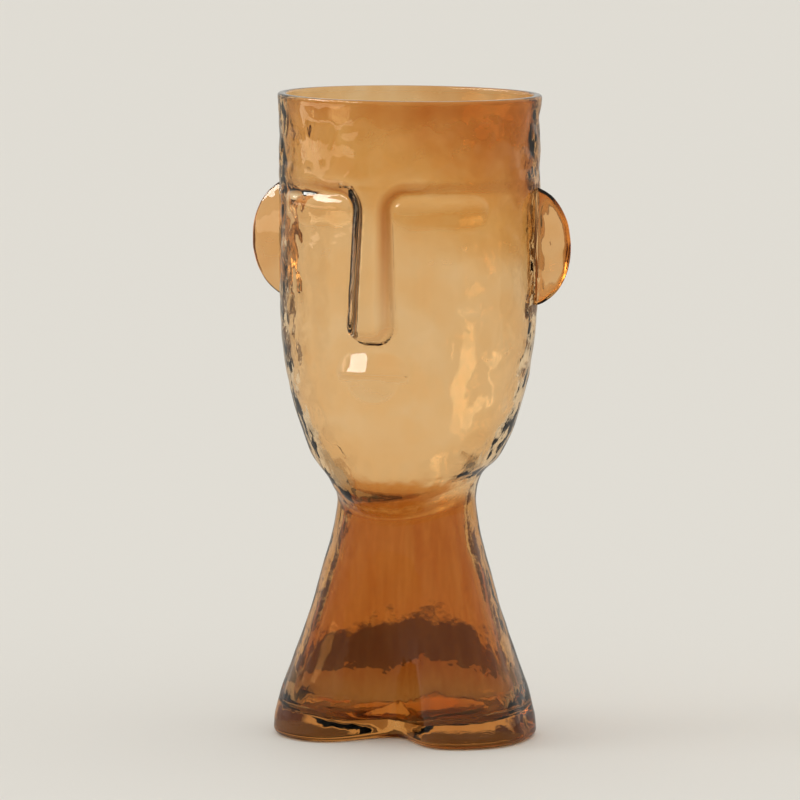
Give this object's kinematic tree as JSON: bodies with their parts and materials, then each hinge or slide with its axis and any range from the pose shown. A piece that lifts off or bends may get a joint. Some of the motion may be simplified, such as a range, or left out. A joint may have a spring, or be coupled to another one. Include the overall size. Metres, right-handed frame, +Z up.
{
  "type": "face vase",
  "caption": "Tall glass flower vase shaped as a stylised long head with ears on a flared, grooved foot, open at the rim and hollow down to the foot.",
  "frame": {"origin": "on the surface that the vase stands on, where the axis of the neck meets it", "axes": "+Z up along the axis of the neck; the face looks along -Y; +X towards the left ear"},
  "size_m": [0.151, 0.1203, 0.29],
  "materials": {
    "amber_glass": "clear, fire polished, tinted honey amber"
  },
  "bodies": {
    "root": {"head": "amber_glass", "neck_and_foot": "amber_glass", "foot_floor": "amber_glass", "left_ear": "amber_glass", "right_ear": "amber_glass"}
  },
  "joints": []
}
